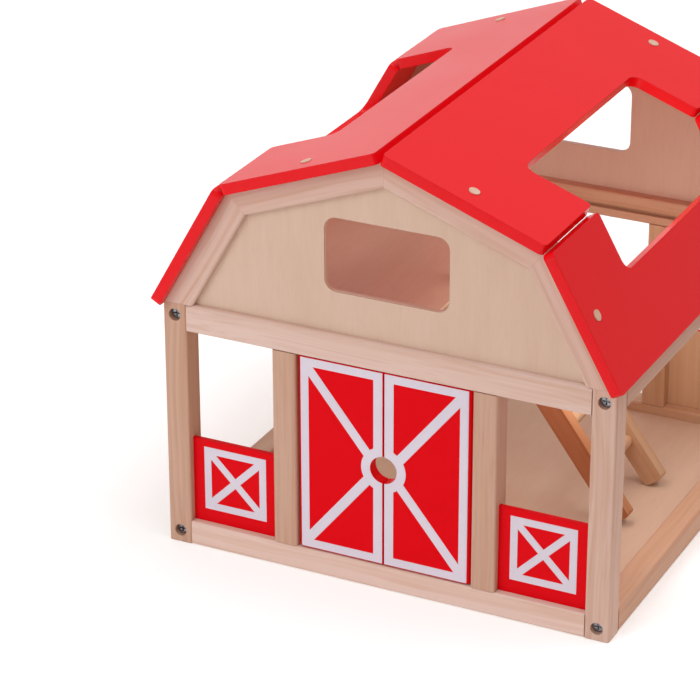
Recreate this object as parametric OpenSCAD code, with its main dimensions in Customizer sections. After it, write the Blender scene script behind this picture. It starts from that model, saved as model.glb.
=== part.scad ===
// Wooden toy barn with a gambrel roof, double front doors, a half loft and a loose ladder.
// The origin is on the ground under the middle of the barn. The front faces -Y and +X is its right.

/* [Timber frame] */
// Width across the corner posts, left to right
barn_w = 300; // [270:5:360]
// Depth across the corner posts, front to back
barn_d = 300; // [270:5:360]
// Height of the corner posts
wall_h = 166; // [158:1:178]
// Side of the square timber
stock = 16; // [15:0.5:18]
// Height of the rails across the top of the front and back walls
top_rail_h = 18; // [17:0.5:22]
// Rounding along the timber's long edges
edge_r = 1.5; // [0.5:0.25:2.5]
// Rounding of the top rails' outer upper edge
rail_nose_r = 3; // [1:0.5:4]
// Clear width between the two door posts
doorway_w = 118; // [100:2:130]

/* [Doors] */
// Thickness of a door
door_t = 8; // [7:0.5:10]
// How far the doors' faces stand back from the front of the posts
door_setback = 1; // [0:0.25:2]
// Gap between a door's hinge edge and its post
door_side_gap = 0.5; // [0.3:0.1:1]
// Gap between the two doors where they meet
door_meet_gap = 0.5; // [0.4:0.1:1.5]
// Gap under the doors
door_foot_gap = 1; // [0.5:0.25:2]
// Gap over the doors
door_head_gap = 0.5; // [0.3:0.1:1.5]
// Rounding of the doors' meeting edges
door_edge_r = 0.5; // [0.25:0.25:2]
// Diameter of the finger hole shared by the two doors
finger_hole_d = 18; // [14:1:24]
// Height of the finger hole's centre
finger_hole_z = 82; // [60:0.5:110]
// Diameter of a hinge pin
hinge_pin_d = 4; // [3:0.25:4.5]
// Radial clearance of a hinge pin in its door
pin_fit = 0.06; // [0.03:0.01:0.1]
// Depth of a hinge pin in its rail
pin_in_rail = 8; // [5:1:10]
// Depth of a hinge pin in its door
pin_in_door = 12; // [8:1:20]

/* [Low panels] */
// Thickness of the low panels beside the doorways
gate_t = 3; // [2.5:0.5:6]
// Height of the low panels above the bottom rails
gate_h = 57.5; // [50:0.5:80]
// How far the low panels stand back from the face of their posts
gate_setback = 5; // [3:0.5:6]
// Depth of the grooves in the posts that hold the low panels
gate_groove = 3; // [2:0.5:4]

/* [White print] */
// Thickness of the print on the doors and the low panels
print_t = 0.15; // [0.1:0.05:0.2]
// Width of the print's band along a door's meeting edge
seam_band_w = 6; // [4:0.5:9]
// Width of the print's bands along a door's other edges
door_band_w = 5.5; // [4:0.5:9]
// Red strip left along a door's hinge edge
door_hinge_strip = 2.5; // [2:0.5:6]
// Red strip left along a door's head and foot
door_end_strip = 0.5; // [0.2:0.1:3]
// Width of a door's braces
brace_w = 6.2; // [4:0.2:9]
// How far past the finger hole's centre a brace aims, up or down
brace_pass = 4.4; // [0:0.2:8]
// Diameter of the white ring round the finger hole
ring_d = 30; // [26:1:36]
// Width and height of the square printed on a low panel
gate_print_w = 43.5; // [30:0.5:50]
// Height of that square's lower edge above the bottom rail
gate_print_rise = 9.2; // [3:0.1:10]
// Width of the lines of the square and its cross
gate_line_w = 4.8; // [3:0.2:8]

/* [Gables] */
// Height of the gable frame's peak
apex_h = 284; // [270:1:300]
// Height of the bend in the roof line
break_h = 246; // [238:1:255]
// Distance of the bend from the middle of the barn
break_x = 103.5; // [92:0.5:110]
// How far the gable frame's foot stands in from the side of the barn
foot_inset = 1.5; // [1:0.25:5]
// Width of the gable frame's members
gable_w = 16.5; // [15:0.5:20]
// Rounding of the members' outward edges along the panel
gable_edge_r = 2; // [0.5:0.25:2.5]
// Thickness of the gable panel
gable_panel_t = 4; // [3:0.5:6]
// How far the gable panel stands back from the face of its frame
gable_panel_setback = 4.5; // [3:0.5:8]
// Depth of the groove that holds the gable panel
gable_groove = 3; // [2:0.5:4]
// Width of the window
window_w = 82; // [60:1:100]
// Height of the window opening
window_h = 48; // [30:1:54]
// How far the window's middle lies below the middle of the gable
window_z = 8.5; // [4:0.5:12]
// Corner radius of the window
window_r = 8; // [4:1:14]

/* [Roof] */
// Thickness of a roof board
roof_t = 7; // [5:0.5:9]
// How far the roof boards stand out at the front and back
roof_overhang = 7; // [1:0.5:10]
// Gap between the upper boards' lower corners along the ridge
ridge_gap = 0.6; // [0.4:0.1:3]
// Gap between an upper and a lower board's inner corners along the bend
bend_gap = 0.3; // [0.2:0.1:2]
// How far a lower board runs past the foot of the gable, along its slope
eave_drop = 1.5; // [0.5:0.25:4]
// Corner radius of the roof boards
board_corner_r = 3; // [1:0.5:6]
// Length of a roof opening, front to back
opening_l = 176; // [140:2:200]
// Reach of a roof opening up the upper board
opening_up = 47; // [30:0.5:52]
// Reach of a roof opening down the lower board
opening_down = 40; // [25:0.5:45]
// Inner corner radius of a roof opening
opening_r = 8; // [4:1:14]
// Rounding of the corners where a roof opening meets the bend
opening_mouth_r = 3; // [1:0.5:6]

/* [Floors] */
// Thickness of the floor board
floor_t = 4; // [3:0.5:5]
// Height of the floor board's upper face
floor_z = 9; // [8:0.5:11]
// Depth of the grooves that hold the floor board
floor_groove = 3; // [2:0.5:3.5]
// Thickness of the loft floor
loft_t = 3; // [2.5:0.5:5]
// Height of the loft floor's upper face
loft_z = 157; // [155:0.5:160]
// Depth of the grooves that hold the loft floor
loft_groove = 4; // [2:0.5:5]
// Distance of the loft's free edge to the right of the middle of the barn
loft_edge_x = 0; // [-20:1:20]

/* [Ladder] */
// Lean of the ladder above the floor, in degrees
ladder_lean = 53.5; // [50:0.5:60]
// Length of the ladder's stiles
ladder_l = 190; // [188:1:200]
// Width across the two stiles
ladder_w = 67; // [50:1:90]
// Distance of the ladder's middle behind the middle of the barn
ladder_y = 9.5; // [-30:0.5:30]
// Width of a stile
stile_w = 14; // [12:0.5:18]
// Thickness of a stile
stile_t = 9; // [7:0.5:12]
// Rounding of the stiles' ends
stile_end_r = 2.5; // [1:0.25:4]
// How far the stiles' hooks reach over the loft's edge
hook_reach = 8.5; // [6:0.5:10]
// Gap between the ladder and what it stands on and hooks over
ladder_seat_gap = 0.2; // [0.1:0.05:0.3]
// Diameter of a rung
rung_d = 8; // [6:0.5:9]
// Distance of the lowest rung from the foot of the ladder
rung_first = 33; // [20:1:38]
// Distance from rung to rung
rung_pitch = 36; // [28:1:38]
// Number of rungs
rung_count = 4; // [3:1:4]
// Depth of a rung's end in its stile
rung_in_stile = 6; // [3:0.5:7]

/* [Fixings] */
// Diameter of the frame bolts
bolt_d = 4; // [3:0.5:5]
// Length of a frame bolt under its head
bolt_l = 36; // [32:1:50]
// Diameter of a bolt's head
bolt_head_d = 7; // [6:0.25:8]
// Height of a bolt's head
bolt_head_h = 3; // [2:0.25:4]
// Gap round a bolt's head in its recess
bolt_head_gap = 0.5; // [0.25:0.25:1]
// How far a bolt's head lies below the face of the post
bolt_head_sink = 3; // [0.5:0.25:4]
// Width of the cross slots in a bolt's head
cross_slot_w = 1; // [0.6:0.1:1.4]
// Depth of the cross slots in a bolt's head
cross_slot_h = 1.5; // [0.5:0.25:2]
// Diameter of a barrel nut
nut_d = 7; // [6:0.25:8]
// Length of a barrel nut
nut_l = 12; // [9:0.5:13]
// Distance of a barrel nut behind the inner face of its post
nut_setback = 16; // [10:1:20]
// Diameter of the hidden dowels
dowel_d = 4; // [3:0.25:4.5]
// Length of the hidden dowels
dowel_l = 16; // [12:1:18]
// Wood left between a bolt and the dowels above and below it
dowel_wall = 0.7; // [0.5:0.1:1]
// Diameter of the pegs that hold the roof boards
peg_d = 7; // [5:0.5:9]
// Depth of a peg in the gable frame
peg_in_frame = 11; // [8:0.5:12]
// How far a peg stands proud of its roof board
peg_proud = 0.5; // [0:0.1:1.5]
// Radial clearance of dowels, pegs, rungs, bolts and nuts in their holes
glue_fit = 0.05; // [0.03:0.01:0.1]

/* [Hidden] */
$fn = 48;

// Extra reach of a cutting shape past the face that it cuts
cut = 1;
FRONT = -1;
REAR = 1;
LEFT = -1;
RIGHT = 1;

half_w = barn_w / 2;
half_d = barn_d / 2;
inner_x = half_w - stock;
inner_y = half_d - stock;
post_mid_x = half_w - stock / 2;
post_mid_y = half_d - stock / 2;
door_post_x = doorway_w / 2;
door_post_mid_x = door_post_x + stock / 2;
rail_bottom_z = wall_h - top_rail_h;
bolt_zs = [stock / 2, wall_h - stock / 2];

door_y = half_d - door_setback - door_t / 2;
door_axis_x = door_post_x - door_side_gap - door_t / 2;
door_bottom_z = stock + door_foot_gap;
door_top_z = rail_bottom_z - door_head_gap;
door_face_y = half_d - door_setback;
gate_face_y = half_d - gate_setback;

gable_panel_y = half_d - gable_panel_setback;

// The roof line on the right, as points in X and Z, and the two slopes below level
peak = [0, apex_h];
bend = [break_x, break_h];
foot = [half_w - foot_inset, wall_h];
upper_slope = atan2(apex_h - break_h, break_x);
lower_slope = atan2(break_h - wall_h, foot[0] - break_x);
mitre_slope = (upper_slope + lower_slope) / 2;
half_bend = (lower_slope - upper_slope) / 2;
upper_l = norm(bend - peak);
lower_l = norm(foot - bend);

// Points of a line that runs inside the roof line at a distance of w
function inner_peak(w) = [0, apex_h - w / cos(upper_slope)];
function inner_bend(w) = bend - w / cos(half_bend) * [sin(mitre_slope), cos(mitre_slope)];
function inner_foot(w) = [foot[0] - w / sin(lower_slope), wall_h];

dowel_rise = bolt_d / 2 + dowel_wall + dowel_d / 2;
bolt_sink = bolt_head_sink + bolt_head_h;
board_w = barn_d + 2 * roof_overhang;

// The foot corner of the ladder, before its rounding
ladder_corner_z = floor_z + ladder_seat_gap - stile_end_r * (sin(ladder_lean) + cos(ladder_lean) - 1);
ladder_corner_x = loft_edge_x - hook_reach + (loft_z - ladder_corner_z) / tan(ladder_lean);
notch_size = 60;

// Paint and wood colours
wood = [0.84, 0.71, 0.62];
plywood = [0.86, 0.74, 0.64];
red = [0.85, 0.06, 0.1];
white = [0.86, 0.84, 0.87];
steel = [0.6, 0.6, 0.62];

// Puts a piece made for the front right on either side and at either end
module at_corner(side, end) {
  mirror([side == LEFT ? 1 : 0, 0, 0]) mirror([0, end == REAR ? 1 : 0, 0]) children();
}

// Puts a piece made for the right roof slope on either side
module on_side(side) {
  mirror([side == LEFT ? 1 : 0, 0, 0]) children();
}

// Lays a flat outline in X and Z and gives it a depth from y0 towards y1
module along_y(y0, y1) {
  translate([0, y1, 0]) rotate([90, 0, 0]) linear_extrude(y1 - y0) children();
}

// Lays a flat outline in Y and Z and gives it a length from x0 towards x1
module along_x(x0, x1) {
  translate([x0, 0, 0]) rotate([90, 0, 90]) linear_extrude(x1 - x0) children();
}

// The waste outside a rounded corner that lies at the origin
module corner_waste(r) {
  difference() {
    translate([-cut, -cut]) square(r + cut);
    translate([r, r]) circle(r);
  }
}

// A rectangle with its four corners rounded
module rounded_rect(w, h, r) {
  difference() {
    square([w, h]);
    for (mx = [0, 1], my = [0, 1])
      translate([mx * w, my * h]) mirror([mx, 0]) mirror([0, my]) corner_waste(r);
  }
}

module rod_x(x0, x1, y, z, r) {
  translate([x0, y, z]) rotate([0, 90, 0]) cylinder(h = x1 - x0, r = r);
}

module rod_y(x, y0, y1, z, r) {
  translate([x, y1, z]) rotate([90, 0, 0]) cylinder(h = y1 - y0, r = r);
}

module rod_z(x, y, z0, z1, r) {
  translate([x, y, z0]) cylinder(h = z1 - z0, r = r);
}

// Fixings at the front right corner. With a gap they are the holes that take them.

module rail_dowels(gap = 0) {
  for (z = bolt_zs, up = [-1, 1])
    rod_x(inner_x - dowel_l / 2 - gap, inner_x + dowel_l / 2 + gap, -post_mid_y,
      z + up * dowel_rise, dowel_d / 2 + gap);
}

module door_post_dowels(gap = 0) {
  for (z = [stock, rail_bottom_z])
    rod_z(door_post_mid_x, -post_mid_y, z - dowel_l / 2 - gap, z + dowel_l / 2 + gap,
      dowel_d / 2 + gap);
}

module bolt_holes() {
  for (z = bolt_zs) {
    rod_y(post_mid_x, -half_d, -half_d + bolt_sink + bolt_l + cut, z, bolt_d / 2 + glue_fit);
    rod_y(post_mid_x, -half_d - cut, -half_d + bolt_sink, z, bolt_head_d / 2 + bolt_head_gap);
  }
}

// A barrel nut's hole opens on the hidden face of its rail: below at the foot, above at the eave
module nut_holes() {
  r = nut_d / 2 + glue_fit;
  y = nut_setback - inner_y;
  rod_z(post_mid_x, y, -cut, bolt_zs[0] + nut_l / 2, r);
  rod_z(post_mid_x, y, bolt_zs[1] - nut_l / 2, wall_h + cut, r);
}

// The pins of the right door, at its foot and its head
module door_pins(gap = 0) {
  r = hinge_pin_d / 2 + gap;
  rod_z(door_axis_x, -door_y, stock - pin_in_rail, door_bottom_z + pin_in_door + gap, r);
  rod_z(door_axis_x, -door_y, door_top_z - pin_in_door - gap, rail_bottom_z + pin_in_rail, r);
}

// Turns a piece into the plane of a right roof slope: X runs down it and Z points out of it
module on_upper_slope() {
  translate([peak[0], 0, peak[1]]) rotate([0, upper_slope, 0]) children();
}

module on_lower_slope() {
  translate([bend[0], 0, bend[1]]) rotate([0, lower_slope, 0]) children();
}

module upper_peg(end, gap = 0) {
  on_upper_slope() rod_z((ridge_gap / 2 + upper_l) / 2, end * post_mid_y,
    -peg_in_frame - gap, roof_t + peg_proud, peg_d / 2 + gap);
}

module lower_peg(end, gap = 0) {
  on_lower_slope() rod_z((lower_l + eave_drop) / 2, end * post_mid_y,
    -peg_in_frame - gap, roof_t + peg_proud, peg_d / 2 + gap);
}

// Dowels across the gable frame's mitres: one at the peak and one at the bend
module peak_dowel(gap = 0) {
  z = (apex_h + inner_peak(gable_w)[1]) / 2;
  rod_x(-dowel_l / 2 - gap, dowel_l / 2 + gap, -post_mid_y, z, dowel_d / 2 + gap);
}

module bend_dowel(gap = 0) {
  middle = (bend + inner_bend(gable_w)) / 2;
  translate([middle[0], -post_mid_y, middle[1]]) rotate([0, mitre_slope, 0])
    rod_x(-dowel_l / 2 - gap, dowel_l / 2 + gap, 0, 0, dowel_d / 2 + gap);
}

// The waste outside the rounded edge that runs down a gable member beside its panel
module member_edge_waste(l) {
  along_x(-stock, l + stock) translate([-half_d, -gable_w]) corner_waste(gable_edge_r);
}

// Everything outside the underside of the right lower roof board
module above_lower_slope() {
  on_lower_slope() translate([-cut, -half_d - cut, 0])
    cube([lower_l + stock, barn_d + 2 * cut, stock]);
}

// The timber frame

module corner_post(side, end) {
  color(wood) at_corner(side, end) difference() {
    translate([inner_x, -half_d, 0]) linear_extrude(wall_h) rounded_rect(stock, stock, edge_r);
    above_lower_slope();
    bolt_holes();
    rail_dowels(glue_fit);
    low_panel_body();
  }
}

// A rail's section in Y and Z, with its outer upper edge rounded to its own radius
module rail_section(h, nose_r) {
  difference() {
    square([stock, h]);
    corner_waste(edge_r);
    translate([stock, 0]) mirror([1, 0]) corner_waste(edge_r);
    translate([stock, h]) mirror([1, 0]) mirror([0, 1]) corner_waste(edge_r);
    translate([0, h]) mirror([0, 1]) corner_waste(nose_r);
  }
}

module bottom_rail(end) {
  color(wood) at_corner(RIGHT, end) difference() {
    along_x(-inner_x, inner_x) translate([-half_d, 0]) rail_section(stock, edge_r);
    floor_body();
    for (side = [LEFT, RIGHT]) on_side(side) {
      rail_dowels(glue_fit);
      door_post_dowels(glue_fit);
      if (end == FRONT) door_pins();
    }
  }
}

module top_rail(end) {
  color(wood) at_corner(RIGHT, end) difference() {
    along_x(-inner_x, inner_x) translate([-half_d, rail_bottom_z])
      rail_section(top_rail_h, rail_nose_r);
    translate([-inner_x - cut, -inner_y - loft_groove, loft_z - loft_t])
      cube([2 * (inner_x + cut), loft_groove + cut, loft_t]);
    gable_panel_body();
    for (side = [LEFT, RIGHT]) on_side(side) {
      rail_dowels(glue_fit);
      door_post_dowels(glue_fit);
      if (end == FRONT) door_pins();
    }
  }
}

module side_rail(side) {
  color(wood) on_side(side) difference() {
    along_y(-inner_y, inner_y) translate([inner_x, 0]) rounded_rect(stock, stock, edge_r);
    floor_body();
    for (end = [FRONT, REAR]) at_corner(RIGHT, end) {
      bolt_holes();
      nut_holes();
    }
  }
}

module eave_beam(side) {
  color(wood) on_side(side) difference() {
    along_y(-inner_y, inner_y) translate([inner_x, wall_h - stock])
      rounded_rect(stock, stock, edge_r);
    above_lower_slope();
    for (end = [FRONT, REAR]) at_corner(RIGHT, end) {
      bolt_holes();
      nut_holes();
    }
  }
}

module door_post(side, end) {
  color(wood) at_corner(side, end) difference() {
    translate([door_post_x, -half_d, stock]) linear_extrude(rail_bottom_z - stock)
      rounded_rect(stock, stock, edge_r);
    door_post_dowels(glue_fit);
    low_panel_body();
  }
}

// The low panel beside the doorway, with its edges in the grooves of its two posts
module low_panel_body() {
  x0 = door_post_x + stock - gate_groove;
  x1 = inner_x + gate_groove;
  translate([x0, -gate_face_y, stock]) cube([x1 - x0, gate_t, gate_h]);
}

module low_panel(side, end) {
  color(red) at_corner(side, end) low_panel_body();
}

// A square outline with its two diagonals, printed on the panel's outer face
module low_panel_print(side, end) {
  w = gate_print_w;
  color(white) at_corner(side, end) along_y(-gate_face_y - print_t, -gate_face_y)
    translate([(door_post_x + stock + inner_x - w) / 2, stock + gate_print_rise]) {
      difference() {
        square(w);
        translate([gate_line_w, gate_line_w]) square(w - 2 * gate_line_w);
      }
      intersection() {
        square(w);
        for (turn = [-45, 45]) translate([w / 2, w / 2]) rotate(turn)
          square([2 * w, gate_line_w], center = true);
      }
    }
}

// The gables

module gable_upper_member(side, end) {
  color(wood) at_corner(side, end) difference() {
    along_y(-half_d, -inner_y)
      polygon([peak, bend, inner_bend(gable_w), inner_peak(gable_w)]);
    on_upper_slope() member_edge_waste(upper_l);
    gable_panel_body();
    upper_peg(FRONT, glue_fit);
    peak_dowel(glue_fit);
    bend_dowel(glue_fit);
  }
}

module gable_lower_member(side, end) {
  color(wood) at_corner(side, end) difference() {
    along_y(-half_d, -inner_y)
      polygon([bend, foot, inner_foot(gable_w), inner_bend(gable_w)]);
    on_lower_slope() member_edge_waste(lower_l);
    gable_panel_body();
    lower_peg(FRONT, glue_fit);
    bend_dowel(glue_fit);
  }
}

// The gable panel reaches into the grooves of its frame and, with a tongue, of the top rail
module gable_panel_body() {
  reach = gable_w - gable_groove;
  corner = inner_bend(reach);
  side_foot = inner_foot(reach);
  tongue_x = min(inner_foot(gable_w)[0], inner_x - dowel_l / 2 - dowel_wall);
  along_y(-gable_panel_y, -gable_panel_y + gable_panel_t)
    polygon([
      inner_peak(reach), corner, side_foot,
      [tongue_x, wall_h], [tongue_x, wall_h - gable_groove],
      [-tongue_x, wall_h - gable_groove], [-tongue_x, wall_h],
      [-side_foot[0], side_foot[1]], [-corner[0], corner[1]]
    ]);
}

module gable_panel(end) {
  color(plywood) at_corner(RIGHT, end) difference() {
    gable_panel_body();
    along_y(-gable_panel_y - cut, -gable_panel_y + gable_panel_t + cut)
      translate([-window_w / 2, (wall_h + apex_h - window_h) / 2 - window_z])
        rounded_rect(window_w, window_h, window_r);
  }
}

// The roof

// A board's outline, X down the slope, with the roof opening cut into its edge at X = 0
module notched_outline(board_l, notch_l) {
  half = opening_l / 2;
  difference() {
    translate([0, -board_w / 2]) rounded_rect(board_l, board_w, board_corner_r);
    difference() {
      translate([-cut, -half]) square([notch_l + cut, opening_l]);
      for (my = [0, 1]) mirror([0, my])
        translate([notch_l, half]) mirror([1, 0]) mirror([0, 1]) corner_waste(opening_r);
    }
    for (my = [0, 1]) mirror([0, my]) translate([0, half]) corner_waste(opening_mouth_r);
  }
}

module roof_upper(side) {
  board_l = upper_l - ridge_gap / 2;
  color(red) on_side(side) difference() {
    on_upper_slope() translate([upper_l, 0, 0]) mirror([1, 0, 0])
      linear_extrude(roof_t) notched_outline(board_l, opening_up);
    for (end = [FRONT, REAR]) upper_peg(end, glue_fit);
  }
}

module roof_lower(side) {
  board_l = lower_l + eave_drop - bend_gap;
  color(red) on_side(side) difference() {
    on_lower_slope() translate([bend_gap, 0, 0])
      linear_extrude(roof_t) notched_outline(board_l, opening_down);
    for (end = [FRONT, REAR]) lower_peg(end, glue_fit);
  }
}

// The floors

// The floor board has tongues on its four sides that stop short of the corner posts
module floor_body() {
  for (reach = [[floor_groove, 0], [0, floor_groove]])
    translate([-inner_x - reach[0], -inner_y - reach[1], floor_z - floor_t])
      cube([2 * (inner_x + reach[0]), 2 * (inner_y + reach[1]), floor_t]);
}

module floor_board() {
  color(plywood) floor_body();
}

module loft_floor() {
  color(plywood) translate([-inner_x, -inner_y - loft_groove, loft_z - loft_t])
    cube([inner_x + loft_edge_x, 2 * (inner_y + loft_groove), loft_t]);
}

// The doors

module finger_hole() {
  rod_y(0, -half_d - cut, -inner_y, finger_hole_z, finger_hole_d / 2);
}

// The right door from above, with its hinge edge round about the hinge's axis
module door_section() {
  translate([door_axis_x, -door_y]) circle(door_t / 2);
  difference() {
    translate([door_meet_gap / 2, -door_face_y])
      square([door_axis_x - door_meet_gap / 2, door_t]);
    for (my = [-1, 1])
      translate([door_meet_gap / 2, -door_y + my * door_t / 2])
        mirror([0, my > 0 ? 1 : 0]) corner_waste(door_edge_r);
  }
}

module door(side) {
  color(red) on_side(side) difference() {
    translate([0, 0, door_bottom_z])
      linear_extrude(door_top_z - door_bottom_z) door_section();
    finger_hole();
    door_pins(pin_fit);
  }
}

// The right door's print from the front: bands along its edges, two braces and half a ring
module door_pattern() {
  x0 = door_meet_gap / 2 + door_edge_r;
  x1 = door_post_x - door_side_gap - door_hinge_strip;
  z0 = door_bottom_z + door_end_strip;
  z1 = door_top_z - door_end_strip;
  difference() {
    translate([x0, z0]) square([x1 - x0, z1 - z0]);
    translate([x0 + seam_band_w, z0 + door_band_w])
      square([x1 - x0 - seam_band_w - door_band_w, z1 - z0 - 2 * door_band_w]);
  }
  intersection() {
    translate([x0, z0]) square([x1 - x0, z1 - z0]);
    union() {
      for (up = [-1, 1]) {
        corner = [x1, up > 0 ? z1 : z0];
        rise = corner[1] - (finger_hole_z - up * brace_pass);
        translate(corner) rotate(atan2(rise, x1))
          square([2 * norm([x1, rise]), brace_w], center = true);
      }
      translate([0, finger_hole_z]) circle(ring_d / 2);
    }
  }
}

// The print follows the door's front face and the start of its round hinge edge
module door_print(side) {
  color(white) on_side(side) difference() {
    intersection() {
      along_y(-half_d - cut, -door_y) door_pattern();
      translate([0, 0, door_bottom_z]) linear_extrude(door_top_z - door_bottom_z)
        difference() {
          union() {
            translate([door_axis_x, -door_y]) circle(door_t / 2 + print_t);
            translate([0, -door_face_y - print_t]) square([door_axis_x, door_t / 2]);
          }
          translate([0, -door_face_y]) square([door_axis_x, door_t]);
          translate([door_axis_x, -door_y]) circle(door_t / 2);
        }
    }
    finger_hole();
  }
}

module hinge_pins() {
  color(steel) for (side = [LEFT, RIGHT]) on_side(side) door_pins();
}

// The ladder

// X runs down the ladder from the top of its stiles and Z points out of its upper face
module on_ladder() {
  translate([ladder_corner_x, ladder_y, ladder_corner_z]) rotate([0, ladder_lean, 0]) children();
}

module rungs(gap = 0) {
  reach = ladder_w / 2 - stile_t + rung_in_stile + gap;
  on_ladder() for (i = [0 : rung_count - 1])
    rod_y(-rung_first - i * rung_pitch, -reach, reach, stile_w / 2, rung_d / 2 + gap);
}

module stile(end) {
  y0 = end == FRONT ? -ladder_w / 2 : ladder_w / 2 - stile_t;
  color(wood) difference() {
    on_ladder() along_y(y0, y0 + stile_t)
      translate([-ladder_l, 0]) rounded_rect(ladder_l, stile_w, stile_end_r);
    translate([loft_edge_x + ladder_seat_gap - notch_size, ladder_y - ladder_w,
        loft_z + ladder_seat_gap - notch_size])
      cube([notch_size, 2 * ladder_w, notch_size]);
    rungs(glue_fit);
  }
}

module ladder_rungs() {
  color(wood) rungs();
}

// The fixings

module roof_pegs() {
  color(wood) for (side = [LEFT, RIGHT], end = [FRONT, REAR]) on_side(side) {
    upper_peg(end);
    lower_peg(end);
  }
}

// A bolt along +Y with the underside of its head at the origin
module bolt() {
  difference() {
    union() {
      rod_y(0, 0, bolt_l, 0, bolt_d / 2);
      rod_y(0, -bolt_head_h, 0, 0, bolt_head_d / 2);
    }
    for (turn = [0, 90]) rotate([0, turn, 0])
      translate([-bolt_head_d * 0.34, -bolt_head_h - cut, -cross_slot_w / 2])
        cube([bolt_head_d * 0.68, cross_slot_h + cut, cross_slot_w]);
  }
}

module frame_bolts() {
  color(steel) for (side = [LEFT, RIGHT], end = [FRONT, REAR]) at_corner(side, end)
    for (z = bolt_zs) translate([post_mid_x, bolt_sink - half_d, z]) bolt();
}

module barrel_nuts() {
  color(steel) for (side = [LEFT, RIGHT], end = [FRONT, REAR]) at_corner(side, end)
    for (z = bolt_zs) difference() {
      rod_z(post_mid_x, nut_setback - inner_y, z - nut_l / 2, z + nut_l / 2, nut_d / 2);
      rod_y(post_mid_x, nut_setback - inner_y - nut_d, nut_setback - inner_y + nut_d, z,
        bolt_d / 2 + glue_fit);
    }
}

module frame_dowels() {
  color(wood) for (side = [LEFT, RIGHT], end = [FRONT, REAR]) at_corner(side, end) {
    rail_dowels();
    door_post_dowels();
  }
}

module gable_dowels() {
  color(wood) for (end = [FRONT, REAR]) at_corner(RIGHT, end) {
    peak_dowel();
    for (side = [LEFT, RIGHT]) on_side(side) bend_dowel();
  }
}

corner_post(LEFT, FRONT);  // front_left_post
corner_post(RIGHT, FRONT);  // front_right_post
corner_post(LEFT, REAR);  // rear_left_post
corner_post(RIGHT, REAR);  // rear_right_post
bottom_rail(FRONT);  // front_bottom_rail
bottom_rail(REAR);  // rear_bottom_rail
top_rail(FRONT);  // front_top_rail
top_rail(REAR);  // rear_top_rail
side_rail(LEFT);  // left_side_rail
side_rail(RIGHT);  // right_side_rail
eave_beam(LEFT);  // left_eave_beam
eave_beam(RIGHT);  // right_eave_beam
door_post(LEFT, FRONT);  // front_left_door_post
door_post(RIGHT, FRONT);  // front_right_door_post
door_post(LEFT, REAR);  // rear_left_door_post
door_post(RIGHT, REAR);  // rear_right_door_post
low_panel(LEFT, FRONT);  // front_left_panel
low_panel(RIGHT, FRONT);  // front_right_panel
low_panel(LEFT, REAR);  // rear_left_panel
low_panel(RIGHT, REAR);  // rear_right_panel
gable_upper_member(LEFT, FRONT);  // front_gable_upper_left
gable_upper_member(RIGHT, FRONT);  // front_gable_upper_right
gable_lower_member(LEFT, FRONT);  // front_gable_lower_left
gable_lower_member(RIGHT, FRONT);  // front_gable_lower_right
gable_upper_member(LEFT, REAR);  // rear_gable_upper_left
gable_upper_member(RIGHT, REAR);  // rear_gable_upper_right
gable_lower_member(LEFT, REAR);  // rear_gable_lower_left
gable_lower_member(RIGHT, REAR);  // rear_gable_lower_right
gable_panel(FRONT);  // front_gable_panel
gable_panel(REAR);  // rear_gable_panel
roof_upper(LEFT);  // roof_upper_left
roof_upper(RIGHT);  // roof_upper_right
roof_lower(LEFT);  // roof_lower_left
roof_lower(RIGHT);  // roof_lower_right
floor_board();
loft_floor();
door(LEFT);  // left_door
door(RIGHT);  // right_door
door_print(LEFT);  // left_door_print
door_print(RIGHT);  // right_door_print
low_panel_print(LEFT, FRONT);  // front_left_panel_print
low_panel_print(RIGHT, FRONT);  // front_right_panel_print
low_panel_print(LEFT, REAR);  // rear_left_panel_print
low_panel_print(RIGHT, REAR);  // rear_right_panel_print
hinge_pins();
stile(FRONT);  // ladder_front_stile
stile(REAR);  // ladder_rear_stile
ladder_rungs();
roof_pegs();
frame_bolts();
barrel_nuts();
frame_dowels();
gable_dowels();
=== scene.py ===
import math

import bpy
from mathutils import Matrix, Vector

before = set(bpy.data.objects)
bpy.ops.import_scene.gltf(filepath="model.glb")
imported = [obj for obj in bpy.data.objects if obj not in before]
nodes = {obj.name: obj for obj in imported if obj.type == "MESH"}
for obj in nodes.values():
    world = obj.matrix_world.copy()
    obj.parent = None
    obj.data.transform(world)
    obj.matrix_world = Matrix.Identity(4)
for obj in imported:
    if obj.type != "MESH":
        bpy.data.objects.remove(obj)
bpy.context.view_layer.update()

# Camera: the photo's view, fitted to the barn's edges
PHOTO_PX = 700
FOCAL_PX = 3094.3
SENSOR_MM = 36.0
CLIP_NEAR = 0.05
CLIP_FAR = 50.0
CAMERA_AT = (0.722059, -1.653722, 0.942918)
CAMERA_RIGHT = (0.8968399, 0.4423479, -0.0025432)
CAMERA_DOWN = (0.1852696, -0.3808336, -0.9058923)
CAMERA_AHEAD = (-0.4016881, 0.8119692, -0.4235004)

camera_data = bpy.data.cameras.new("camera")
camera_data.sensor_width = SENSOR_MM
camera_data.lens = FOCAL_PX / PHOTO_PX * SENSOR_MM
camera_data.clip_start = CLIP_NEAR
camera_data.clip_end = CLIP_FAR
camera = bpy.data.objects.new("camera", camera_data)
bpy.context.scene.collection.objects.link(camera)
axes = Matrix((CAMERA_RIGHT, [-c for c in CAMERA_DOWN], [-c for c in CAMERA_AHEAD])).transposed()
camera.matrix_world = Matrix.Translation(CAMERA_AT) @ axes.to_4x4()
bpy.context.scene.camera = camera

# Slopes of the gambrel roof and lean of the ladder, as in the CAD source
BEND_X = 103.5
BEND_Z = 246.0
PEAK_Z = 284.0
FOOT_X = 148.5
WALL_Z = 166.0
UPPER_SLOPE = math.atan2(PEAK_Z - BEND_Z, BEND_X)
LOWER_SLOPE = math.atan2(BEND_Z - WALL_Z, FOOT_X - BEND_X)
LADDER_LEAN = math.radians(53.5)

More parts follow.
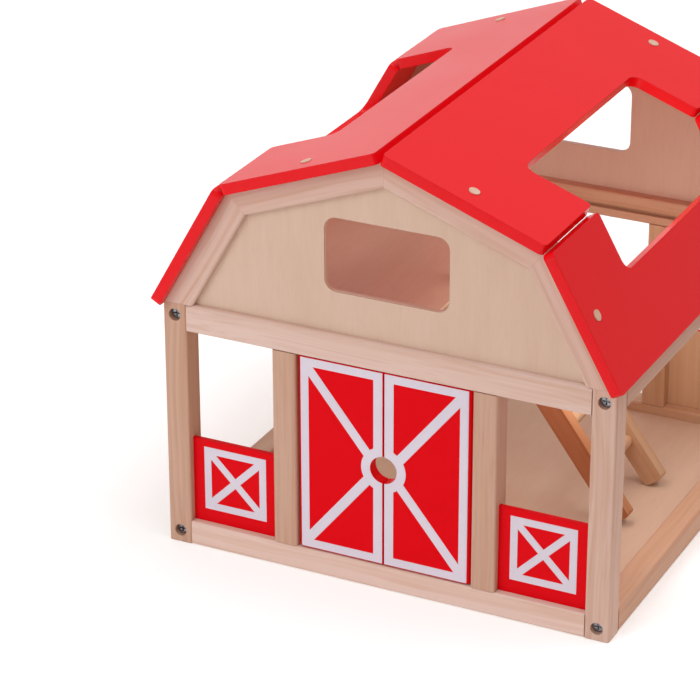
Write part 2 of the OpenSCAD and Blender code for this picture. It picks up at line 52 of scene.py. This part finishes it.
# Turns that bring the grain along an axis, or along a piece that falls towards +X
QUARTER = math.pi / 2
ALONG_X = (0.0, 0.0, 0.0)
ALONG_Y = (0.0, 0.0, -QUARTER)
ALONG_Z = (0.0, QUARTER, 0.0)


def sloped(angle):
    return (0.0, -angle, 0.0)


def rgba(r, g, b):
    return (r, g, b, 1.0)


def shade(tone, factors):
    return rgba(*(t * f for t, f in zip(tone, factors)))


# The timber's colours: one piece differs from the next. The deep orange tones of the pieces inside
# and on the dim right side, of the ladder's front stile in shadow and of the plywood floors inside
# are painted shade
BRIGHT = (0.755, 0.570, 0.500)
PALE = (0.710, 0.535, 0.470)
SOFT = (0.665, 0.475, 0.400)
ROSE = (0.640, 0.450, 0.370)
WARM = (0.570, 0.365, 0.270)
DEEP_SHADE = (0.600, 0.360, 0.240)
AMBER_SHADE = (0.560, 0.255, 0.125)
HONEY = (0.640, 0.410, 0.260)
PLY = (0.665, 0.490, 0.385)
PLY_INSIDE_SHADE = (0.660, 0.470, 0.345)
ROOF_RED = (0.790, 0.0020, 0.0070)
DOOR_RED = (0.730, 0.0020, 0.0070)

# What such a colour is multiplied by in the finer features of its piece
AS_IT_IS = (1.0, 1.0, 1.0)
PINE_LATE = (0.84, 0.69, 0.58)
PINE_STREAK = (0.93, 0.85, 0.78)
PINE_END = (0.7, 0.55, 0.45)
BARE_EARLY = (1.12, 1.15, 1.15)
BARE_LATE = (1.02, 0.97, 0.90)
BARE_STREAK = (1.06, 1.04, 1.00)
PLY_FIGURE = (0.91, 0.86, 0.82)
PLY_VEIN = (0.8, 0.71, 0.64)
PLY_GLUE = (0.5, 0.4, 0.3)
RED_CLOUD = (0.95, 0.7, 0.8)
RED_EDGE_DARK = (0.75, 0.5, 0.5)

# Colours of the small finishes
PRINT_WHITE = rgba(0.700, 0.655, 0.745)
PRINT_CLOUD = rgba(0.665, 0.625, 0.715)
PRINT_GRIT = rgba(0.62, 0.42, 0.50)
PEG_LIGHT = rgba(0.720, 0.500, 0.385)
PEG_DARK = rgba(0.640, 0.400, 0.290)
PEG_FLECK = rgba(0.330, 0.165, 0.090)
# The dark rim on the pegs' edges is painted shade
PEG_RIM_SHADE = rgba(0.36, 0.12, 0.08)
STEEL_LIGHT = rgba(0.34, 0.35, 0.38)
STEEL_DARK = rgba(0.20, 0.21, 0.24)
STEEL_RIM = rgba(0.62, 0.63, 0.66)

# Noise cells per metre, along the grain and twice across it
WOOD_DRIFT = (7.0, 24.0, 24.0)
WOOD_BROAD = (2.5, 190.0, 190.0)
WOOD_LINES = (4.0, 520.0, 520.0)
WOOD_FIBRE = (30.0, 1500.0, 1500.0)
WOOD_CLOUD = (6.0, 30.0, 30.0)
PLY_WANDER = (9.0, 34.0, 34.0)
PLY_LINES = (26.0, 190.0, 190.0)
PLY_PORES = (90.0, 1500.0, 1500.0)

# Lengths in metres: how far the grain wanders, a pair of plies, radii of edges, depths of relief
DRIFT_REACH = (0.0, 0.014, 0.014)
PLY_PITCH = 0.0027
PINE_EDGE = 0.0005
PLY_EDGE = 0.0004
PAINT_EDGE = 0.0007
PEG_EDGE = 0.0003
FINE_EDGE = 0.0002
WOOD_RELIEF = 0.00002
PAINT_RELIEF = 0.000012
PANEL_RELIEF = 0.000015
PEG_RELIEF = 0.00003
FINE_RELIEF = 0.00001

# The low panels' inner faces lie 142 mm from the middle and are the only bare ones
PANEL_BACK_Y = 0.1421
PANEL_SEED = 3.3
FIRST_SEED = 1.0
SEED_STEP = 1.37


class Net:
    """Builds the node tree of a material or a world."""

    def __init__(self, owner):
        self.owner = owner
        owner.use_nodes = True
        self.tree = owner.node_tree
        self.tree.nodes.clear()

    def put(self, kind, inputs=None, **props):
        n = self.tree.nodes.new(kind)
        for k, v in props.items():
            setattr(n, k, v)
        for k, v in (inputs or {}).items():
            self.plug(n.inputs[k], v)
        return n

    def plug(self, socket, value):
        if isinstance(value, bpy.types.NodeSocket):
            self.tree.links.new(value, socket)
        else:
            socket.default_value = value

    def math(self, op, a, b=0.0, c=0.0):
        return self.put("ShaderNodeMath", {0: a, 1: b, 2: c}, operation=op).outputs[0]

    def times(self, a, b):
        return self.math("MULTIPLY", a, b)

    def vector(self, op, a, b):
        n = self.put("ShaderNodeVectorMath", {0: a, 1: b}, operation=op)
        return n.outputs["Value" if op == "DOT_PRODUCT" else "Vector"]

    def axis(self, vector, i):
        return self.put("ShaderNodeSeparateXYZ", {0: vector}).outputs[i]

    def number(self, factor, a, b):
        return self.put("ShaderNodeMix", {0: factor, 2: a, 3: b}).outputs[0]

    def mix(self, factor, a, b):
        return self.put("ShaderNodeMix", {0: factor, 6: a, 7: b}, data_type="RGBA").outputs[2]

    def ramp(self, value, low, high, to_low=0.0, to_high=1.0):
        return self.put("ShaderNodeMapRange", {
            "Value": value, "From Min": low, "From Max": high,
            "To Min": to_low, "To Max": to_high}).outputs[0]

    def layer(self, under, over, value, low, high, share=1.0):
        """One colour over another: none where the value is low, and this share where it is high."""
        return self.mix(self.ramp(value, low, high, 0.0, share), under, over)

    def noise(self, at, scale, detail, rough=0.55):
        return self.put("ShaderNodeTexNoise", {
            "Vector": at, "Scale": scale, "Detail": detail, "Roughness": rough}).outputs[0]

    def grain(self, at, cells, detail, rough=0.55):
        return self.noise(self.vector("MULTIPLY", at, cells), 1.0, detail, rough)

    def here(self):
        return self.put("ShaderNodeTexCoord").outputs["Object"]

    def facing(self):
        return self.put("ShaderNodeTexCoord").outputs["Normal"]

    def turned(self, start, turn):
        return self.put("ShaderNodeMapping", {
            "Vector": self.here(), "Location": start, "Rotation": turn}).outputs[0]

    def edges(self, radius):
        """A mask that is 1 on sharp edges, and the normal with those edges rounded."""
        soft = self.put("ShaderNodeBevel", {"Radius": radius}, samples=4).outputs[0]
        hard = self.put("ShaderNodeNewGeometry").outputs["Normal"]
        agree = self.vector("DOT_PRODUCT", soft, hard)
        return self.ramp(agree, 0.995, 0.75), soft

    def finish(self, color, rough, height, relief, normal, specular, metallic=0.0):
        bump = self.put("ShaderNodeBump", {
            "Strength": 1.0, "Distance": relief, "Height": height, "Normal": normal})
        shader = self.put("ShaderNodeBsdfPrincipled", {
            "Base Color": color, "Roughness": rough, "Metallic": metallic,
            "Specular IOR Level": specular, "Normal": bump.outputs[0]})
        self.put("ShaderNodeOutputMaterial", {"Surface": shader.outputs[0]})
        return self.owner


def new_look(name):
    return Net(bpy.data.materials.new(name))


def wood_color(net, turn, seed, early, late, streak):
    """Solid timber: soft uneven streaks along the piece that wander a little, and fine fibres."""
    at = net.turned((seed * 0.371, seed * 0.113, seed * 0.057), turn)
    drift = net.put("ShaderNodeTexNoise", {
        "Vector": net.vector("MULTIPLY", at, WOOD_DRIFT), "Scale": 1.0, "Detail": 1.0})
    reach = net.vector("MULTIPLY", drift.outputs["Color"], DRIFT_REACH)
    bent = net.vector("ADD", at, reach)
    broad = net.grain(bent, WOOD_BROAD, 2.0, rough=0.5)
    lines = net.grain(bent, WOOD_LINES, 2.0, rough=0.6)
    fibre = net.grain(at, WOOD_FIBRE, 2.0)
    cloud = net.grain(at, WOOD_CLOUD, 2.0)
    late_wood = net.ramp(broad, 0.46, 0.66)
    color = net.mix(net.times(late_wood, 0.6), early, late)
    color = net.layer(color, late, lines, 0.5, 0.72, share=0.55)
    color = net.layer(color, streak, fibre, 0.5, 0.8, share=0.22)
    color = net.layer(color, streak, cloud, 0.35, 0.75, share=0.3)
    return color, late_wood, fibre


def end_grain(net, turn, color, dark):
    """Cut ends drink more lacquer, so they are darker."""
    facing = net.put("ShaderNodeMapping", {"Vector": net.facing(), "Rotation": turn},
                     vector_type="NORMAL").outputs[0]
    is_end = net.ramp(net.math("ABSOLUTE", net.axis(facing, 0)), 0.8, 0.92)
    return net.mix(net.times(is_end, 0.45), color, dark)


def pine(name, turn, seed, tone):
    net = new_look(name)
    late = shade(tone, PINE_LATE)
    color, late_wood, fibre = wood_color(net, turn, seed, shade(tone, AS_IT_IS), late,
                                         shade(tone, PINE_STREAK))
    color = end_grain(net, turn, color, shade(tone, PINE_END))
    edge, soft = net.edges(PINE_EDGE)
    color = net.mix(net.times(edge, 0.3), color, late)
    height = net.math("MULTIPLY_ADD", late_wood, 0.5, fibre)
    rough = net.ramp(fibre, 0.3, 0.7, to_low=0.38, to_high=0.52)
    return net.finish(color, rough, height, WOOD_RELIEF, soft, specular=0.25)


def plywood(name, turn, seed, thickness_axis, tone):
    """Rotary cut veneer: a faint cloudy figure on the faces, and the plies on the cut edges."""
    net = new_look(name)
    light, dark = shade(tone, AS_IT_IS), shade(tone, PLY_FIGURE)
    vein, glue = shade(tone, PLY_VEIN), shade(tone, PLY_GLUE)
    at = net.turned((seed * 0.53, seed * 0.29, seed * 0.17), turn)
    wander = net.grain(at, PLY_WANDER, 3.0)
    figure = net.grain(at, PLY_LINES, 3.0)
    pores = net.grain(at, PLY_PORES, 2.0)
    color = net.layer(light, dark, figure, 0.42, 0.72, share=0.35)
    color = net.layer(color, dark, wander, 0.4, 0.75, share=0.5)
    color = net.layer(color, vein, pores, 0.5, 0.8, share=0.25)
    on_edge = net.ramp(net.math("ABSOLUTE", net.axis(net.facing(), thickness_axis)), 0.6, 0.3)
    depth = net.axis(net.here(), thickness_axis)
    ply = net.math("SINE", net.times(depth, 2 * math.pi / PLY_PITCH))
    color = net.mix(net.times(on_edge, 0.8), color, net.layer(light, vein, ply, -0.3, 0.5))
    edge, soft = net.edges(PLY_EDGE)
    color = net.mix(net.times(edge, 0.3), color, glue)
    rough = net.ramp(pores, 0.3, 0.8, to_low=0.38, to_high=0.52)
    return net.finish(color, rough, pores, WOOD_RELIEF, soft, specular=0.25)


def red_color(net, at, red):
    """Even paint with a faint cloud in it, darker in flecks along the sharp edges."""
    cloud = net.noise(at, 14.0, 3.0)
    speck = net.noise(at, 420.0, 2.0)
    color = net.layer(shade(red, AS_IT_IS), shade(red, RED_CLOUD), cloud, 0.35, 0.75, share=0.6)
    edge, soft = net.edges(PAINT_EDGE)
    edge_dark = net.times(edge, net.ramp(speck, 0.35, 0.65, to_low=0.1, to_high=0.5))
    return net.mix(edge_dark, color, shade(red, RED_EDGE_DARK)), speck, cloud, soft


def paint(name, red, specular, rough_low, rough_high):
    net = new_look(name)
    color, speck, cloud, soft = red_color(net, net.here(), red)
    rough = net.ramp(cloud, 0.3, 0.7, rough_low, rough_high)
    return net.finish(color, rough, speck, PAINT_RELIEF, soft, specular)


def panel_paint(name):
    """Red on the outer face and the edges; the inner face stays bare wood."""
    net = new_look(name)
    at = net.here()
    red, speck, cloud, soft = red_color(net, at, DOOR_RED)
    wood, _, fibre = wood_color(net, ALONG_Z, PANEL_SEED, shade(HONEY, BARE_EARLY),
                                shade(HONEY, BARE_LATE), shade(HONEY, BARE_STREAK))
    painted = net.math("GREATER_THAN", net.math("ABSOLUTE", net.axis(at, 1)), PANEL_BACK_Y)
    color = net.mix(painted, wood, red)
    rough = net.math("ADD", net.math("MULTIPLY_ADD", painted, -0.1, 0.42),
                     net.ramp(cloud, 0.3, 0.7, to_low=-0.04, to_high=0.04))
    height = net.math("ADD", speck, net.times(fibre, 0.5))
    return net.finish(color, rough, height, PANEL_RELIEF, soft, specular=0.05)


def print_white(name):
    net = new_look(name)
    at = net.here()
    cloud = net.noise(at, 30.0, 3.0)
    grit = net.noise(at, 900.0, 2.0)
    color = net.layer(PRINT_WHITE, PRINT_CLOUD, cloud, 0.35, 0.7)
    color = net.layer(color, PRINT_GRIT, grit, 0.62, 0.8, share=0.3)
    _, soft = net.edges(FINE_EDGE)
    rough = net.ramp(grit, 0.3, 0.7, to_low=0.38, to_high=0.5)
    return net.finish(color, rough, grit, FINE_RELIEF, soft, specular=0.3)


def beech(name):
    """Dowels and pegs, whose cut ends show fine dark flecks; the dark rim on their edges is painted
    shade.
    """
    net = new_look(name)
    at = net.here()
    flecks = net.noise(at, 1500.0, 2.0)
    cloud = net.noise(at, 160.0, 2.0)
    color = net.layer(PEG_LIGHT, PEG_DARK, cloud, 0.35, 0.7)
    color = net.layer(color, PEG_FLECK, flecks, 0.55, 0.75, share=0.5)
    edge, soft = net.edges(PEG_EDGE)
    color = net.mix(net.times(edge, 0.8), color, PEG_RIM_SHADE)
    rough = net.ramp(flecks, 0.3, 0.7, to_low=0.4, to_high=0.6)
    return net.finish(color, rough, flecks, PEG_RELIEF, soft, specular=0.3)


def zinc(name):
    net = new_look(name)
    at = net.here()
    brushed = net.noise(net.vector("MULTIPLY", at, (1.0, 5.0, 1.0)), 1100.0, 2.0)
    bloom = net.noise(at, 260.0, 3.0)
    color = net.layer(STEEL_LIGHT, STEEL_DARK, bloom, 0.35, 0.7)
    edge, soft = net.edges(FINE_EDGE)
    color = net.mix(net.times(edge, 0.5), color, STEEL_RIM)
    rough = net.ramp(brushed, 0.3, 0.7, to_low=0.16, to_high=0.32)
    return net.finish(color, rough, brushed, FINE_RELIEF, soft, specular=0.5, metallic=1.0)


def dress(look, *names):
    for name in names:
        for s in nodes[name].material_slots:
            s.material = look


# Pieces inside and on the right side take the deep tones, and the ladder's front stile the darkest,
# as painted shade
timber = {
    "front_left_post": (ALONG_Z, WARM), "front_right_post": (ALONG_Z, ROSE),
    "rear_left_post": (ALONG_Z, DEEP_SHADE), "rear_right_post": (ALONG_Z, HONEY),
    "front_left_door_post": (ALONG_Z, WARM), "front_right_door_post": (ALONG_Z, WARM),
    "rear_left_door_post": (ALONG_Z, DEEP_SHADE), "rear_right_door_post": (ALONG_Z, HONEY),
    "front_bottom_rail": (ALONG_X, BRIGHT), "rear_bottom_rail": (ALONG_X, HONEY),
    "front_top_rail": (ALONG_X, PALE), "rear_top_rail": (ALONG_X, DEEP_SHADE),
    "left_side_rail": (ALONG_Y, WARM), "right_side_rail": (ALONG_Y, DEEP_SHADE),
    "left_eave_beam": (ALONG_Y, WARM), "right_eave_beam": (ALONG_Y, WARM),
    "front_gable_upper_left": (sloped(-UPPER_SLOPE), SOFT),
    "front_gable_upper_right": (sloped(UPPER_SLOPE), SOFT),
    "front_gable_lower_left": (sloped(-LOWER_SLOPE), SOFT),
    "front_gable_lower_right": (sloped(LOWER_SLOPE), SOFT),
    "rear_gable_upper_left": (sloped(-UPPER_SLOPE), WARM),
    "rear_gable_upper_right": (sloped(UPPER_SLOPE), WARM),
    "rear_gable_lower_left": (sloped(-LOWER_SLOPE), WARM),
    "rear_gable_lower_right": (sloped(LOWER_SLOPE), WARM),
    "ladder_front_stile": (sloped(LADDER_LEAN), AMBER_SHADE),
    "ladder_rear_stile": (sloped(LADDER_LEAN), HONEY),
    "ladder_rungs": (ALONG_Y, HONEY),
}
for i, (node, (turn, tone)) in enumerate(timber.items()):
    dress(pine(node + "_look", turn, FIRST_SEED + SEED_STEP * i, tone), node)

# The floor board and the loft floor take the deeper inside plywood tone, as painted shade
plies = {
    "front_gable_panel": (ALONG_Z, 1.0, 1, PLY),
    "rear_gable_panel": (ALONG_Z, 4.2, 1, PLY),
    "floor_board": (ALONG_Y, 2.1, 2, PLY_INSIDE_SHADE),
    "loft_floor": (ALONG_Y, 3.6, 2, PLY_INSIDE_SHADE),
}
for node, (turn, seed, thickness_axis, tone) in plies.items():
    dress(plywood(node + "_look", turn, seed, thickness_axis, tone), node)

dress(paint("roof_paint_look", ROOF_RED, specular=0.20, rough_low=0.16, rough_high=0.26),
      "roof_upper_left", "roof_upper_right", "roof_lower_left", "roof_lower_right")
dress(paint("door_paint_look", DOOR_RED, specular=0.04, rough_low=0.3, rough_high=0.4),
      "left_door", "right_door")
dress(panel_paint("panel_paint_look"),
      "front_left_panel", "front_right_panel", "rear_left_panel", "rear_right_panel")
dress(print_white("print_white_look"), "left_door_print", "right_door_print",
      "front_left_panel_print", "front_right_panel_print",
      "rear_left_panel_print", "rear_right_panel_print")
dress(beech("dowel_wood_look"), "roof_pegs", "frame_dowels", "gable_dowels")
dress(zinc("steel_look"), "hinge_pins", "frame_bolts", "barrel_nuts")

# Floor: plain and pale, wide enough to fill the view, and it keeps the barn's soft shadow.
# To the eye it is even; it hands less light on to the barn's right side, as in the photo.
FLOOR_SIZE = 12.0
FLOOR_Z = -0.0002
FLOOR_TONE = rgba(0.90, 0.90, 0.905)
FLOOR_CLOUD = rgba(0.915, 0.915, 0.915)
FLOOR_GLOW = 0.20
DIM_TONE = rgba(0.50, 0.30, 0.20)
DIM_FROM_X, DIM_TO_X = 0.12, 0.35
bpy.ops.mesh.primitive_plane_add(size=FLOOR_SIZE, location=(0, 0, FLOOR_Z))
floor = bpy.context.object
floor.name = "floor"
net = new_look("floor_look")
tone = net.mix(net.noise(net.here(), 3.0, 2.0), FLOOR_TONE, FLOOR_CLOUD)
bounced = net.put("ShaderNodeLightPath").outputs["Is Diffuse Ray"]
dim = net.times(bounced, net.ramp(net.axis(net.here(), 0), DIM_FROM_X, DIM_TO_X))
diffuse = net.put("ShaderNodeBsdfDiffuse", {
    "Color": net.mix(dim, tone, DIM_TONE), "Roughness": 0.5})
glow = net.put("ShaderNodeEmission", {
    "Color": rgba(1, 1, 1), "Strength": net.math("MULTIPLY_ADD", dim, -FLOOR_GLOW, FLOOR_GLOW)})
total = net.put("ShaderNodeAddShader", {0: diffuse.outputs[0], 1: glow.outputs[0]})
net.put("ShaderNodeOutputMaterial", {"Surface": total.outputs[0]})
floor.data.materials.append(net.owner)

# World: white to the eye. As light it is brightest overhead, dimmer on the left, and dim and
# warm low on the right. What the gloss mirrors is dimmer to the front and to the right.
LIGHT_LOW, LIGHT_HIGH, LIGHT_LEFT = 0.78, 0.90, 0.65
GLOSS_FRONT, GLOSS_BACK = 0.3, 1.0
GLOSS_LEFT, GLOSS_RIGHT = 0.80, 0.45
RIGHT_TINT = rgba(0.40, 0.17, 0.06)
world = bpy.data.worlds.new("studio")
bpy.context.scene.world = world
sky = Net(world)
toward = sky.put("ShaderNodeTexCoord").outputs["Generated"]
x, y, z = sky.put("ShaderNodeSeparateXYZ", {0: toward}).outputs
ray = sky.put("ShaderNodeLightPath").outputs
level = sky.times(sky.ramp(z, 0.0, 0.9, LIGHT_LOW, LIGHT_HIGH),
                  sky.ramp(x, -0.9, 0.1, LIGHT_LEFT, 1.0))
gloss_level = sky.times(sky.ramp(y, -0.6, 0.5, GLOSS_FRONT, GLOSS_BACK),
                        sky.ramp(x, -0.6, 0.6, GLOSS_LEFT, GLOSS_RIGHT))
lit = sky.number(ray["Is Glossy Ray"], level, gloss_level)
seen = sky.math("MAXIMUM", ray["Is Camera Ray"], ray["Is Transmission Ray"])
low_right = sky.times(sky.ramp(x, 0.05, 0.6), sky.ramp(z, 0.75, 0.25))
warm = sky.times(low_right, ray["Is Diffuse Ray"])
background = sky.put("ShaderNodeBackground", {
    "Color": sky.mix(warm, rgba(1, 1, 1), RIGHT_TINT), "Strength": sky.number(seen, lit, 1.0)})
sky.put("ShaderNodeOutputWorld", {"Surface": background.outputs[0]})

# Lamps: places and sizes in metres
MIDDLE = (0.0, 0.0, 0.12)
SOFT_BOX_SIZE = 1.2
GLOW_RADIUS = 0.04
GLOW_COLOR = (0.92, 1.0, 0.92)


def new_lamp(name, kind, watts):
    data = bpy.data.lights.new(name, kind)
    data.energy = watts
    lamp = bpy.data.objects.new(name, data)
    bpy.context.scene.collection.objects.link(lamp)
    return lamp


def soft_box(name, at, watts):
    """A broad lamp outside the view that shines on the barn's middle."""
    lamp = new_lamp(name, "AREA", watts)
    lamp.data.shape = "SQUARE"
    lamp.data.size = SOFT_BOX_SIZE
    away = Vector(at) - Vector(MIDDLE)
    lamp.matrix_world = Matrix.Translation(at) @ away.to_track_quat("Z", "Y").to_matrix().to_4x4()


def glow_inside(name, at, watts):
    """A soft unseen lamp for the light that the bare wood inside hands on from face to face."""
    lamp = new_lamp(name, "POINT", watts)
    lamp.data.shadow_soft_size = GLOW_RADIUS
    lamp.data.color = GLOW_COLOR
    lamp.location = at
    lamp.visible_camera = False
    lamp.visible_glossy = False


soft_box("top", at=(0.72, 0.2, 2.0), watts=12.0)
soft_box("front", at=(-0.9, -1.9, 1.7), watts=16.0)
glow_inside("loft_glow", at=(0.065, 0.0, 0.20), watts=0.20)
glow_inside("ground_glow", at=(0.07, -0.02, 0.11), watts=0.09)

bpy.context.scene.display_settings.display_device = "sRGB"
bpy.context.scene.view_settings.view_transform = "Standard"
